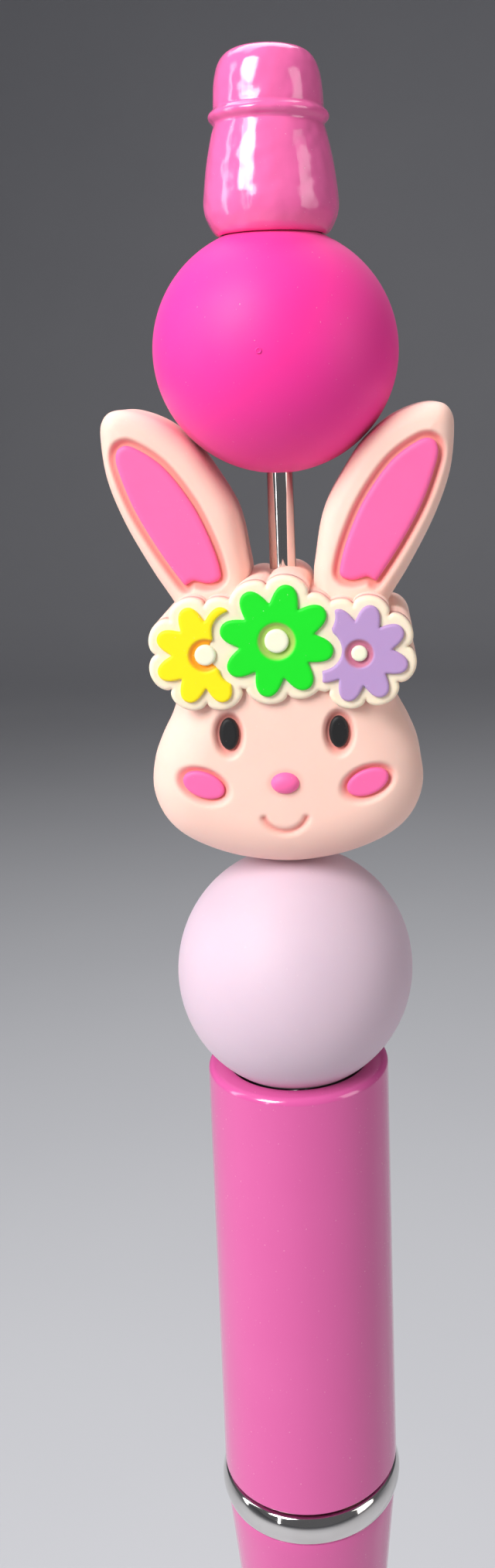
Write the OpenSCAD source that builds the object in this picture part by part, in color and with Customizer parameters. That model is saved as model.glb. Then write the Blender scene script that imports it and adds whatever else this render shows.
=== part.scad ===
// Beadable twist pen. Two round silicone beads and a rabbit focal bead are threaded on a
// thin rod above a two-piece barrel. Turning the upper barrel drives the refill out.
// Millimetres. The pen stands along +Z on its nose, and the rabbit looks towards -Y.

/* [Beads] */
// Diameter of the two round beads
bead_d = 15; // [12:0.5:19]
// Clearance between neighbouring beads and their seats
bead_gap = 0.1; // [0.05:0.05:0.3]
// Radial clearance of the beads on the rod
bead_fit = 0.08; // [0.02:0.01:0.1]

/* [Rod] */
// Diameter of the rod
rod_d = 1.65; // [1.2:0.05:2.2]
// How far the rod reaches into the rod plug
rod_in_plug = 7; // [4:0.5:8]
// How far the rod reaches into the end cap
rod_in_cap = 7.4; // [5:0.2:8.4]
// Radial clearance of the cap insert on the rod
insert_fit = 0.05; // [0.02:0.01:0.1]

/* [Upper barrel] */
// Length of the upper barrel
upper_len = 27.65; // [22:0.5:34]
// Diameter of the upper barrel at its rim
rim_d = 11.6; // [10.6:0.2:14]
// Diameter of the upper barrel at its lower end
waist_d = 11.4; // [10.6:0.2:14]
// Diameter of the barrel's bore and of the cup that seats the first bead
cup_d = 9; // [8.6:0.2:9.8]
// Depth of the cup below the rim
cup_depth = 2.1; // [1.6:0.1:4]
// Rounding of the rim
rim_round = 0.45; // [0.1:0.05:0.6]

/* [Centre ring] */
// Height of the ring
ring_h = 1.8; // [1:0.1:4]
// How far the ring's bulge stands out of the barrel
ring_proud = 0.2; // [0.1:0.05:0.6]
// Gap between the ring and the upper barrel
ring_gap = 0.25; // [0.1:0.05:0.5]

/* [Lower barrel] */
// Length of the lower barrel without its nose cone
lower_len = 47.5; // [40:0.5:60]
// Diameter of the straight grip
grip_d = 8.8; // [8.4:0.1:9.4]
// Length of the straight grip
grip_len = 19; // [14:0.5:22]
// Diameter of the lower barrel at the nose cone
nose_top_d = 6; // [5.6:0.1:7]
// Diameter of the lower barrel's bore
lower_bore_d = 6; // [5.2:0.1:6.2]

/* [Nose cone] */
// Length of the visible nose cone
nose_len = 9.5; // [7:0.5:14]
// Diameter of the nose cone's end
nose_end_d = 2.9; // [2.6:0.1:3.6]
// Diameter of the hole in its end
nose_hole_d = 2; // [1.9:0.1:2.2]
// Diameter of the spigot that is pressed into the barrel
spigot_d = 4.8; // [4.2:0.1:5]
// Length of that spigot
spigot_len = 4.5; // [3:0.5:6]

/* [Twist mechanism] */
// Travel of the refill
travel = 5; // [3:0.5:5.5]
// Turn of the upper barrel that gives the whole travel, degrees
twist = 180; // [120:10:180]
// Outer diameter of the guide tube
guide_d = 5.2; // [4.8:0.1:5.4]
// Wall of the guide tube
guide_wall = 0.6; // [0.4:0.05:0.7]
// Wall of the cam sleeve
cam_wall = 0.75; // [0.5:0.05:0.9]
// Diameter of the carriage pin
pin_d = 1; // [0.8:0.05:1.2]
// Radial clearance between sliding pieces
slide_fit = 0.05; // [0.02:0.01:0.1]
// Clearance of the pin in its slots
slot_fit = 0.12; // [0.05:0.01:0.2]
// Length of the bush inside the lower barrel
bush_down = 10; // [6:0.5:12]
// Length of the bush inside the upper barrel
bush_up = 5; // [3:0.5:6]

/* [Refill] */
// Diameter of the refill tube
refill_d = 2.35; // [2:0.05:2.4]
// Wall of the refill tube
refill_wall = 0.32; // [0.2:0.02:0.4]
// Length of the refill from ball to end
refill_len = 67; // [62:0.5:67.5]
// Length of the metal tip
tip_len = 9; // [7:0.5:11]
// Diameter of the writing ball
ball_d = 1; // [0.7:0.1:1.1]
// Height of the ball inside the nose when it is drawn in
ball_up = 2; // [1.5:0.1:3]

/* [End cap] */
// Height of the cap
cap_h = 11; // [10:0.5:14]
// Diameter of its dome
cap_dome_d = 6.6; // [6:0.1:7.4]
// Diameter of its skirt
cap_skirt_d = 8.2; // [7.6:0.1:9.4]
// Diameter of the hollow that sits on the last bead
cap_cup_d = 6.2; // [5.6:0.1:6.6]
// Depth of that hollow
cap_cup_depth = 1.6; // [1.2:0.1:2.4]
// Height of the raised ring above the skirt's foot
cap_ring_z = 6.5; // [5.5:0.1:7.5]
// Thickness of the raised ring
cap_ring_t = 0.65; // [0.4:0.05:0.9]
// Diameter of the threaded insert
insert_d = 3.2; // [2.8:0.1:3.6]

/* [Rabbit] */
// Width of the head across the cheeks
head_w = 16.8; // [15.6:0.2:18]
// Depth of the head, front to back
head_t = 9.2; // [8.4:0.2:11]
// Depth of the ears
ear_t = 6.6; // [5.6:0.2:7.4]
// Depth of the crown
crown_t = 10; // [9.6:0.2:12]
// Thickness of the cream plate on the crown
plate_t = 0.9; // [0.6:0.1:1.2]
// Depth of the recesses in the face and the ears
recess = 0.5; // [0.3:0.05:0.6]
// Space round each inlay in its recess
recess_rim = 0.34; // [0.2:0.02:0.4]
// How far the flowers stand out of the plate
flower_proud = 0.25; // [0.1:0.05:0.4]

/* [Hidden] */
$fn = 64;
hull_fn = 32;
// Overlap that lets a cut run clear of a face
eps = 0.02;

rod_r = rod_d / 2;
bead_r = bead_d / 2;
bore_r = rod_r + bead_fit;

// Heights of the barrel's pieces
lower_top = nose_len + lower_len;
upper_z = lower_top + ring_h + ring_gap;
rim_z = upper_z + upper_len;
plug_top = rim_z - cup_depth;
cup_r = cup_d / 2;
// A bead rests where its sphere meets the edge of a round seat
function seat_rise(seat_r) = sqrt(pow(bead_r + bead_gap, 2) - pow(seat_r, 2));
lilac_z = rim_z + seat_rise(cup_r);
rabbit_z = lilac_z + bead_r + bead_gap;

// Rabbit outline, in its own plane: x across, h above the chin
cheek_r = 4;
cheek_x = head_w / 2 - cheek_r;
cheek_h = 5;
brow_r = 6.2;
brow_h = 10.7;
chin_r = 12.7;
ear_in_x = 12.4;
ear_in_h = 18.65;
ear_in_r = 10.3;
ear_out_x = -5.45;
ear_out_h = 27.46;
ear_out_r = 16.1;
ear_tip_x = 9.6;
ear_tip_h = 27.1;
ear_tip_r = 1.1;
ear_foot_h = 12.5;
inlay_in = [13.26, 17.26, 9.56];
inlay_out = [-4.66, 27.56, 14.35];
inlay_tip = [9.25, 25.15, 0.5];
inlay_foot_h = 17.5;
// Flowers: x, h, reach of the petals, turn of the first petal, hub hole and centre radius
yellow = [-4.45, 13.7, 3, 18, 1.05, 0.65];
green = [-0.2, 14.45, 3.4, -14, 1.15, 0.75];
lavender = [4.65, 13.6, 2.95, 27, 0.95, 0.5];
FLOWERS = [yellow, green, lavender];
petals = 8;
petal_r = 0.62;
valley_share = 0.67;
scallop_margin = 0.47;
cut_margin = 0.25;
eye_x = 3.3;
eye_h = 8.7;
eye_size = [0.59, 0.97];
cheek_spot = [4.95, 5.55];
cheek_size = [1.31, 0.78];
cheek_tilt = 21;
nose_h = 5.7;
nose_size = [0.87, 0.68];
smile_r = 1.39;
smile_h = 4;
smile_groove = 0.16;
smile_sweep = 134;

// The last bead rests between the two ears
ear_reach = ear_in_r + bead_r + bead_gap;
pink_z = rabbit_z + ear_in_h + sqrt(pow(ear_reach, 2) - pow(ear_in_x, 2));
cap_z = pink_z + seat_rise(cap_cup_d / 2);
rod_bottom = plug_top - rod_in_plug;
rod_top = cap_z + rod_in_cap;
insert_z = cap_z + cap_cup_depth;
insert_len = rod_in_cap - cap_cup_depth + 0.4;

// Heights of the mechanism, counted down from the rod plug
plug_len = rod_in_plug + 1;
plug_z = plug_top - plug_len;
cam_flange = 1.2;
cam_top = plug_z;
cam_z = upper_z + bush_up + 0.4;
guide_r = guide_d / 2;
guide_in_r = guide_r - guide_wall;
guide_top = cam_top - cam_flange - 0.3;
guide_z = lower_top - bush_down + 1.5;
cam_in_r = guide_r + slide_fit;
cam_out_r = cam_in_r + cam_wall;
pin_r = pin_d / 2;
pin_z = guide_top - 1.2 - pin_r;
carriage_r = guide_in_r - slide_fit;
refill_top = ball_up + refill_len;
refill_r = refill_d / 2;
ink_r = refill_r - refill_wall;
carriage_top = guide_top - 0.3;
carriage_z = refill_top - 9;
bush_top = upper_z + bush_up;
bush_r = cup_r - slide_fit;
bush_low_r = 3.9;
tip_top = ball_up + tip_len;
ball_r = ball_d / 2;
ball_z = ball_up + ball_r;
tip_spigot = 3;
grip_z = nose_len + 11.5;
grip_top = grip_z + grip_len;
waist_low_d = waist_d - 0.2;

PINK = [0.93, 0.4, 0.72];
HOT_PINK = [1, 0.25, 0.7];
INLAY_PINK = [1, 0.42, 0.72];
PEACH = [0.98, 0.83, 0.77];
CREAM = [0.96, 0.9, 0.8];
LILAC = [0.88, 0.78, 0.87];
CHROME = [0.8, 0.8, 0.82];
BRASS = [0.8, 0.65, 0.35];

// Outline points that leave the radius r0 steeply and run level into r1, or the other way
function round_in(r0, z0, r1, z1, steps) =
  [for (i = [0 : steps]) [r0 + (r1 - r0) * sin(90 * i / steps), z0 + (z1 - z0) * i / steps]];
function flare_out(r0, z0, r1, z1, steps) =
  [for (i = [0 : steps]) [r1 - (r1 - r0) * cos(90 * i / steps), z0 + (z1 - z0) * i / steps]];

module tube(r_out, r_in, z0, z1) {
  translate([0, 0, z0]) difference() {
    cylinder(r = r_out, h = z1 - z0);
    translate([0, 0, -eps]) cylinder(r = r_in, h = z1 - z0 + 2 * eps);
  }
}

module bore(r, z0, z1) {
  translate([0, 0, z0]) cylinder(r = r, h = z1 - z0);
}

// ---- Lower half -------------------------------------------------------------

module lower_barrel() {
  outline = concat(
    round_in(nose_top_d / 2, nose_len, grip_d / 2, grip_z, 8),
    flare_out(grip_d / 2, grip_top, waist_low_d / 2, lower_top, 10));
  color(PINK) difference() {
    rotate_extrude() polygon(concat([[0, nose_len]], outline, [[0, lower_top]]));
    bore(spigot_d / 2, nose_len - eps, nose_len + spigot_len);
    bore(lower_bore_d / 2, nose_len + spigot_len, lower_top - bush_down + eps);
    bore(bush_low_r, lower_top - bush_down, lower_top + eps);
  }
}

module nose_cone() {
  outline = [
    [0, 0], [nose_end_d / 2 - 0.25, 0], [nose_end_d / 2, 0.25],
    [nose_top_d / 2 - 0.5, nose_len - 2.4], [nose_top_d / 2, nose_len - 1],
    [nose_top_d / 2, nose_len], [spigot_d / 2, nose_len],
    [spigot_d / 2, nose_len + spigot_len], [0, nose_len + spigot_len]
  ];
  color(CHROME) difference() {
    rotate_extrude() polygon(outline);
    bore(nose_hole_d / 2, -eps, 1.2);
    bore(refill_r + 0.15, 1.1, nose_len + spigot_len + eps);
  }
}

module centre_ring() {
  r = waist_d / 2;
  bulge_r = (pow(ring_h / 2, 2) + pow(ring_proud, 2)) / (2 * ring_proud);
  color(CHROME) translate([0, 0, lower_top]) rotate_extrude() {
    translate([bush_r, 0]) square([r - bush_r, ring_h]);
    intersection() {
      translate([r + ring_proud - bulge_r, ring_h / 2]) circle(r = bulge_r);
      translate([r - eps, 0]) square([ring_proud + 2 * eps, ring_h]);
    }
  }
}

module centre_bush() {
  color(CHROME) difference() {
    union() {
      bore(bush_low_r, lower_top - bush_down, lower_top + eps);
      bore(bush_r, lower_top, bush_top);
    }
    bore(guide_r, guide_z, bush_top + eps);
    bore(guide_in_r, lower_top - bush_down - eps, guide_z + eps);
  }
}

// The straight slot keeps the carriage from turning
module guide_tube() {
  slot_w = pin_d + 2 * slot_fit;
  color(CHROME) difference() {
    tube(guide_r, guide_in_r, guide_z, guide_top);
    translate([0, -slot_w / 2, pin_z - travel - pin_r - slot_fit])
      cube([guide_r + 1, slot_w, travel + pin_d + 2 * slot_fit]);
  }
}

// ---- Upper half -------------------------------------------------------------

module upper_barrel() {
  r = rim_d / 2;
  color(PINK) difference() {
    rotate_extrude() {
      polygon([
        [0, upper_z], [waist_d / 2, upper_z], [r, rim_z - rim_round],
        [r - rim_round, rim_z], [0, rim_z]
      ]);
      translate([r - rim_round, rim_z - rim_round]) circle(r = rim_round);
    }
    bore(cup_r, upper_z - eps, rim_z + 1);
  }
}

module rod_plug() {
  color(CHROME) difference() {
    bore(cup_r, plug_z, plug_top);
    bore(rod_r, rod_bottom, plug_top + eps);
  }
}

module rod() {
  color(CHROME) bore(rod_r, rod_bottom, rod_top);
}

// The helical slot turns with the upper barrel and pushes the pin along
module cam_sleeve() {
  rate = twist / travel;
  slot_h = travel + pin_d + 2 * slot_fit;
  slot_low = pin_z - travel - pin_r - slot_fit;
  // Half angle of the slot, wide enough for the pin where the helix is flattest
  lead_angle = atan(travel / (twist / 360 * 2 * PI * cam_out_r));
  half_w = (pin_r + slot_fit) / sin(lead_angle);
  half_angle = half_w / cam_in_r * 180 / PI;
  reach = cam_out_r + 1;
  fan = [for (i = [-4 : 4]) [reach * cos(half_angle * i / 4), reach * sin(half_angle * i / 4)]];
  start = -twist - rate * (pin_r + slot_fit);
  color(CHROME) difference() {
    union() {
      tube(cam_out_r, cam_in_r, cam_z, cam_top - cam_flange + eps);
      bore(cup_r, cam_top - cam_flange, cam_top);
    }
    translate([0, 0, slot_low]) rotate([0, 0, start])
      linear_extrude(height = slot_h, twist = -rate * slot_h, slices = 36)
        polygon(concat([[0, 0]], fan));
  }
}

// ---- Carriage and refill ------------------------------------------------------

module carriage() {
  color("white") difference() {
    bore(carriage_r, carriage_z, carriage_top);
    bore(refill_r, carriage_z - eps, refill_top);
    translate([0, 0, pin_z]) rotate([0, 90, 0]) cylinder(r = pin_r, h = carriage_r + 1);
  }
}

module carriage_pin() {
  color(CHROME) translate([0, 0, pin_z]) rotate([0, 90, 0]) intersection() {
    cylinder(r = pin_r, h = cam_out_r - 0.05);
    rotate([0, -90, 0]) cylinder(r = cam_out_r - 0.05, h = 2 * pin_d, center = true);
  }
}

module refill_tube() {
  color("white") tube(refill_r, ink_r, tip_top, refill_top);
}

module refill_ink() {
  color([0.05, 0.05, 0.1]) bore(ink_r, tip_top + tip_spigot, refill_top - 8);
}

module refill_tip() {
  outline = [
    [0, ball_z - ball_r * 0.35], [ball_r + 0.06, ball_z - ball_r * 0.35],
    [ball_r + 0.14, ball_z + 0.5], [refill_r - 0.25, tip_top - 3],
    [refill_r - 0.1, tip_top - 1.6], [refill_r, tip_top - 1.6], [refill_r, tip_top],
    [ink_r, tip_top], [ink_r, tip_top + tip_spigot], [0, tip_top + tip_spigot]
  ];
  color(BRASS) difference() {
    rotate_extrude() polygon(outline);
    translate([0, 0, ball_z]) sphere(r = ball_r + 0.02);
    bore(0.25, ball_z, tip_top + tip_spigot + eps);
  }
}

module writing_ball() {
  color(CHROME) translate([0, 0, ball_z]) sphere(r = ball_r);
}

// ---- Beads ----------------------------------------------------------------------

module ball_bead(z) {
  difference() {
    translate([0, 0, z]) sphere(r = bead_r);
    bore(bore_r, z - bead_r - 1, z + bead_r + 1);
  }
}

module lilac_bead() {
  color(LILAC) ball_bead(lilac_z);
}

module pink_bead() {
  color(HOT_PINK) ball_bead(pink_z);
}

// ---- End cap ----------------------------------------------------------------------

module end_cap() {
  dome_r = cap_dome_d / 2;
  skirt_r = cap_skirt_d / 2;
  foot_r = (skirt_r - cap_cup_d / 2) * 0.98;
  dome_round = 1.5;
  belly_z = 2;
  skirt = [for (i = [0 : 8]) [
    skirt_r - (skirt_r - dome_r) * (1 - cos(90 * i / 8)),
    belly_z + (cap_ring_z - belly_z) * sin(90 * i / 8)
  ]];
  color(PINK) translate([0, 0, cap_z]) difference() {
    union() {
      rotate_extrude() {
        polygon(concat([[0, foot_r], [skirt_r, foot_r]], skirt, [[0, cap_ring_z]]));
        translate([skirt_r - foot_r, foot_r]) circle(r = foot_r);
        translate([0, foot_r]) square([skirt_r - foot_r, 1]);
        translate([0, cap_ring_z]) square([dome_r, cap_h - dome_round - cap_ring_z]);
        square([dome_r - dome_round, cap_h - 0.15]);
        intersection() {
          translate([dome_r - dome_round, cap_h - dome_round]) circle(r = dome_round);
          square([dome_r, cap_h - 0.15]);
        }
        translate([dome_r - 0.05, cap_ring_z + cap_ring_t / 2]) circle(r = cap_ring_t / 2);
      }
      // Slightly crowned top
      intersection() {
        translate([0, 0, cap_h - 15]) sphere(r = 15);
        cylinder(r = dome_r - dome_round + 0.4, h = cap_h);
      }
    }
    bore(cap_cup_d / 2, -1, cap_cup_depth);
    bore(insert_d / 2, cap_cup_depth - eps, cap_cup_depth + insert_len);
  }
}

module cap_insert() {
  color(BRASS) tube(insert_d / 2, rod_r + insert_fit, insert_z, insert_z + insert_len);
}

// ---- Rabbit ------------------------------------------------------------------------

// Turns a drawing of x and height above the chin into a plate between two depths
module plate(y_front, y_back) {
  translate([0, y_back, rabbit_z]) rotate([90, 0, 0]) linear_extrude(height = y_back - y_front)
    children();
}

// An upright or lying oval: two discs and the bar between them
module oval(size) {
  r = min(size[0], size[1]);
  dx = size[0] - r;
  dy = size[1] - r;
  for (s = [-1, 1]) translate([s * dx, s * dy]) circle(r = r);
  square([max(2 * dx, 2 * r * sign(dy)), max(2 * dy, 2 * r * sign(dx))], center = true);
}

module head_discs(inset) {
  for (s = [-1, 1]) translate([s * cheek_x, cheek_h]) circle(r = cheek_r - inset);
  translate([0, brow_h]) circle(r = brow_r - inset);
  intersection() {
    translate([0, chin_r]) circle(r = chin_r - inset, $fn = 3 * hull_fn);
    translate([-5, 0]) square([10, 4]);
  }
}

module ear_discs(inset) {
  translate([ear_tip_x, ear_tip_h]) circle(r = ear_tip_r - inset);
  intersection() {
    translate([ear_in_x, ear_in_h]) circle(r = ear_in_r - inset, $fn = 4 * hull_fn);
    translate([ear_out_x, ear_out_h]) circle(r = ear_out_r - inset, $fn = 6 * hull_fn);
    translate([0, ear_foot_h]) square([12, ear_tip_h - ear_foot_h - inset]);
  }
}

// Sizes along the rounding from the full outline to the front face: depth and inset
function rounding(half, edge) =
  [[half - edge, 0], [half - 0.55 * edge, 0.1 * edge], [half - 0.2 * edge, 0.4 * edge],
   [half, 0.9 * edge]];

module leaf(grow) {
  intersection() {
    translate([inlay_in[0], inlay_in[1]]) circle(r = inlay_in[2] + grow);
    translate([inlay_out[0], inlay_out[1]]) circle(r = inlay_out[2] + grow);
    translate([0, inlay_foot_h - grow]) square([12, inlay_tip[1] - inlay_foot_h + grow]);
  }
  translate([inlay_tip[0], inlay_tip[1]]) circle(r = inlay_tip[2] + grow);
}

module petal_ring(f, reach, r) {
  for (i = [0 : petals - 1]) rotate(f[3] + i * 360 / petals) translate([reach - r, 0])
    circle(r = r);
}

// A flower's outline, grown by a margin: a disc, round petal tips, and a taper to each tip
module flower_outline(f, margin) {
  valley = f[2] * valley_share;
  root = [0.8 * valley * cos(180 / petals), valley * sin(180 / petals) + margin];
  tip = [f[2] - 0.9 * petal_r, 0.98 * petal_r + margin];
  translate([f[0], f[1]]) {
    circle(r = valley + margin);
    petal_ring(f, f[2] + margin, petal_r + margin);
    for (i = [0 : petals - 1]) rotate(f[3] + i * 360 / petals)
      polygon([[root[0], -root[1]], [tip[0], -tip[1]], tip, root]);
  }
}

module crown_outline() {
  for (f = FLOWERS) flower_outline(f, scallop_margin);
}

// A raised flower with a round hole for its centre
module flower(f) {
  difference() {
    plate(-crown_t / 2 - flower_proud, -crown_t / 2 + plate_t / 2) flower_outline(f, 0);
    plate(-crown_t, 0) translate([f[0], f[1]]) circle(r = f[4]);
  }
}

// An outer flower stops short of the green one, which lies over it
module outer_flower(f) {
  difference() {
    flower(f);
    plate(-crown_t, 0) translate([green[0], green[1]]) {
      circle(r = green[2] * valley_share + 2 * cut_margin);
      petal_ring(green, green[2] + cut_margin, petal_r + cut_margin);
    }
  }
}

module rabbit_head() {
  ear_face = -ear_t / 2;
  face = -head_t / 2;
  color(PEACH) difference() {
    union() {
      hull() for (s = rounding(head_t / 2, 2.6))
        plate(-s[0], s[0]) head_discs(s[1], $fn = hull_fn);
      for (side = [0, 1]) mirror([side, 0, 0])
        hull() for (s = rounding(ear_t / 2, 1.1))
          plate(-s[0], s[0]) ear_discs(s[1], $fn = hull_fn);
      plate(-crown_t / 2 + plate_t, crown_t / 2 - plate_t) crown_outline();
    }
    bore(bore_r, rabbit_z - 1, rabbit_z + 30);
    // Seat of the cream plate, cut through the brow
    plate(-crown_t, -crown_t / 2 + plate_t) crown_outline();
    for (side = [0, 1]) mirror([side, 0, 0]) {
      plate(ear_face - 1, ear_face + recess) difference() {
        leaf(recess_rim);
        crown_outline();
      }
      plate(face - 1, face + recess) translate([eye_x, eye_h])
        oval(eye_size + [recess_rim, recess_rim]);
      plate(face - 1, face + recess) translate(cheek_spot) rotate(cheek_tilt)
        oval(cheek_size + [recess_rim, recess_rim]);
    }
    plate(face - 1, face + recess) translate([0, nose_h]) oval(nose_size);
    translate([0, face, rabbit_z + smile_h]) rotate([90, 0, 0])
      rotate([0, 0, -90 - smile_sweep / 2]) rotate_extrude(angle = smile_sweep)
        translate([smile_r, 0]) circle(r = smile_groove);
  }
}

module ear_inlay() {
  floor_y = -ear_t / 2 + recess;
  color(INLAY_PINK) plate(floor_y - 0.3, floor_y) difference() {
    leaf(0);
    crown_outline();
  }
}

module ear_inlay_right() {
  ear_inlay();
}

module ear_inlay_left() {
  mirror([1, 0, 0]) ear_inlay();
}

module crown_plate() {
  color(CREAM) difference() {
    plate(-crown_t / 2, -crown_t / 2 + plate_t) crown_outline();
    for (f = FLOWERS) plate(-crown_t / 2 - 1, -crown_t / 2 + plate_t / 2)
      flower_outline(f, 0);
  }
}

module flower_yellow() {
  color([1, 0.88, 0]) outer_flower(yellow);
}

module flower_green() {
  color([0, 0.84, 0.1]) flower(green);
}

module flower_lavender() {
  color([0.68, 0.56, 0.75]) outer_flower(lavender);
}

module flower_centres() {
  color([0.94, 0.94, 0.85]) for (f = FLOWERS)
    plate(-crown_t / 2 - flower_proud, -crown_t / 2 + plate_t / 2)
      translate([f[0], f[1]]) circle(r = f[5]);
}

module eye() {
  floor_y = -head_t / 2 + recess;
  color([0.1, 0.1, 0.1]) plate(floor_y - 0.4, floor_y) translate([eye_x, eye_h]) oval(eye_size);
}

module eye_right() {
  eye();
}

module eye_left() {
  mirror([1, 0, 0]) eye();
}

module cheek() {
  floor_y = -head_t / 2 + recess;
  color(INLAY_PINK) plate(floor_y - 0.5, floor_y) translate(cheek_spot) rotate(cheek_tilt)
    oval(cheek_size);
}

module cheek_right() {
  cheek();
}

module cheek_left() {
  mirror([1, 0, 0]) cheek();
}

module nose() {
  color(INLAY_PINK) intersection() {
    plate(-head_t / 2 - 0.45, -head_t / 2 + recess) translate([0, nose_h]) oval(nose_size);
    translate([0, -head_t / 2 + 0.55, rabbit_z + nose_h]) sphere(r = 1.05);
  }
}

lower_barrel();
nose_cone();
centre_ring();
centre_bush();
guide_tube();
upper_barrel();
rod_plug();
rod();
cam_sleeve();
carriage();
carriage_pin();
refill_tube();
refill_ink();
refill_tip();
writing_ball();
lilac_bead();
pink_bead();
end_cap();
cap_insert();
rabbit_head();
ear_inlay_left();
ear_inlay_right();
crown_plate();
flower_yellow();
flower_green();
flower_lavender();
flower_centres();
eye_left();
eye_right();
cheek_left();
cheek_right();
nose();
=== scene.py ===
from math import asin, ceil, cos, pi, radians, sin

import bmesh
import bpy
import numpy as np
from mathutils import Matrix, Vector


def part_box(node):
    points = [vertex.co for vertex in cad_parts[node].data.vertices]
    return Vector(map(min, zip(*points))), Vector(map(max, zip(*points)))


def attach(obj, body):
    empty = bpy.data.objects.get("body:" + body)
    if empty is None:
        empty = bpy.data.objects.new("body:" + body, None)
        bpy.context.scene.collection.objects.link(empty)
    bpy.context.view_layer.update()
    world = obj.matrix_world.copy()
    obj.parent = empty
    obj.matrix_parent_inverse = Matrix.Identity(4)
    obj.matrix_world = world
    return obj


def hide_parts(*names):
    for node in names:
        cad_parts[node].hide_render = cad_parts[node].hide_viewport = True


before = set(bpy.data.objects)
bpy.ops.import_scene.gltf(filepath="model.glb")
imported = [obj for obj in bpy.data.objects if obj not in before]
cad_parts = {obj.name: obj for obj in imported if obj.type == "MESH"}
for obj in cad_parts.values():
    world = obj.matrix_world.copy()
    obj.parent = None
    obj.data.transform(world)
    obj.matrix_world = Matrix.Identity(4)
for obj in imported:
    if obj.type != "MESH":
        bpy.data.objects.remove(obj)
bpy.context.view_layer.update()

mm = 0.001

# ---- Lower barrel --------------------------------------------------------------------------------
# The tube that the fingers hold, moulded in one shot from glossy pink plastic. It is
# straight at the grip, drawn in to the nose and flared out to meet the chrome ring.


class Wire:
    """A socket in a material's node tree. Arithmetic on it adds the Math nodes."""

    def __init__(self, paint, socket):
        self.paint = paint
        self.socket = socket

    def maths(self, operation, *values):
        return self.paint.node("Math", {"operation": operation}, *values)

    def __add__(self, other):
        return self.maths("ADD", self, other)

    def __mul__(self, other):
        return self.maths("MULTIPLY", self, other)

    __radd__ = __add__
    __rmul__ = __mul__

    def step(self, low, high):
        """0 below low, 1 above high, and a smooth step between them."""
        settings = {"interpolation_type": "SMOOTHSTEP"}
        return self.paint.node("MapRange", settings, self, low, high, 0.0, 1.0)


class Paint:
    """One material. Its shader's constants are given first, and its wires are fed after."""

    def __init__(self, name, **constants):
        self.material = bpy.data.materials.new(name)
        self.material.use_nodes = True
        self.tree = self.material.node_tree
        self.shader = self.tree.nodes["Principled BSDF"]
        for socket, value in constants.items():
            self.shader.inputs[socket.replace("_", " ")].default_value = value
        self.here = self.node("TexCoord", {"out": "Object"})

    def plug(self, target, value):
        if isinstance(value, Wire):
            self.tree.links.new(value.socket, target)
        else:
            target.default_value = value

    def node(self, kind, settings=None, *values, **named):
        """Any other node: its type, its settings, and the values or wires of its sockets."""
        node = self.tree.nodes.new("ShaderNode" + kind)
        settings = dict(settings or {})
        out = settings.pop("out", 0)
        for key, value in settings.items():
            setattr(node, key, value)
        for index, value in enumerate(values):
            self.plug(node.inputs[index], value)
        for key, value in named.items():
            self.plug(node.inputs[key.replace("_", " ")], value)
        return Wire(self, node.outputs[out])

    def noise(self, size, detail=2.0, roughness=0.5, stretch=(1, 1, 1)):
        """Noise from 0 to 1, with features about that many millimetres across."""
        place = self.node("Mapping", None, self.here, Scale=stretch)
        return self.node("TexNoise", None, Vector=place, Scale=1 / (size * mm), Detail=detail,
                         Roughness=roughness)

    def blend(self, factor, first, second):
        """The first colour where factor is 0, and the second where it is 1."""
        mix = self.node("Mix", {"data_type": "RGBA", "out": 2}, factor)
        self.plug(mix.socket.node.inputs[6], first)
        self.plug(mix.socket.node.inputs[7], second)
        return mix

    def bump(self, height, depth, *below):
        """Relief of that many millimetres, laid on the bump below it."""
        wire = self.node("Bump", None, Height=height, Distance=depth * mm)
        for lower in below:
            self.plug(wire.socket.node.inputs["Normal"], lower)
        return wire

    def feed(self, **wires):
        for socket, wire in wires.items():
            self.plug(self.shader.inputs[socket.replace("_", " ")], wire)
        return self.material


def rgb(red, green, blue):
    """A colour as a screen shows it, 0 to 255, in the shader's linear values."""
    return (*[((c / 255 + 0.055) / 1.055) ** 2.4 for c in (red, green, blue)], 1.0)


def moulded_gloss(name, light, deep, wobble, wave):
    """Glossy moulded plastic: soft sink marks, fine scuffs along the pen and a little dust."""
    paint = Paint(name, IOR=1.5, Coat_Weight=0.4, Coat_Roughness=0.03)
    grain = paint.noise(0.3, 3, 0.6)
    scuff = paint.noise(0.5, 3, 0.7, stretch=(1, 1, 0.1)).step(0.62, 0.75)
    dust = paint.noise(0.14, 1).step(0.75, 0.8)
    tone = paint.blend(paint.noise(8), light, deep)
    tone = paint.blend(dust * 0.2, tone, rgb(240, 220, 230))
    rough = 0.13 + grain * 0.06 + scuff * 0.1 + dust * 0.3
    sink = paint.bump(paint.noise(wave, 1), wobble)
    skin = paint.bump(grain, 0.0005, sink)
    return paint.feed(Base_Color=tone, Roughness=rough, Normal=skin)


def piece_of(bm, name, body, material, slot, *nodes):
    """Makes a bmesh in millimetres a piece that rides on a body and stands for CAD nodes."""
    bmesh.ops.scale(bm, vec=(mm, mm, mm), verts=bm.verts)
    mesh = bpy.data.meshes.new(name)
    bm.to_mesh(mesh)
    bm.free()
    mesh.polygons.foreach_set("use_smooth", [True] * len(mesh.polygons))
    mesh.materials.append(material)
    piece = bpy.data.objects.new(name, mesh)
    bpy.context.scene.collection.objects.link(piece)
    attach(piece, body)
    if nodes:
        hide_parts(*nodes)
    return piece


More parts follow.
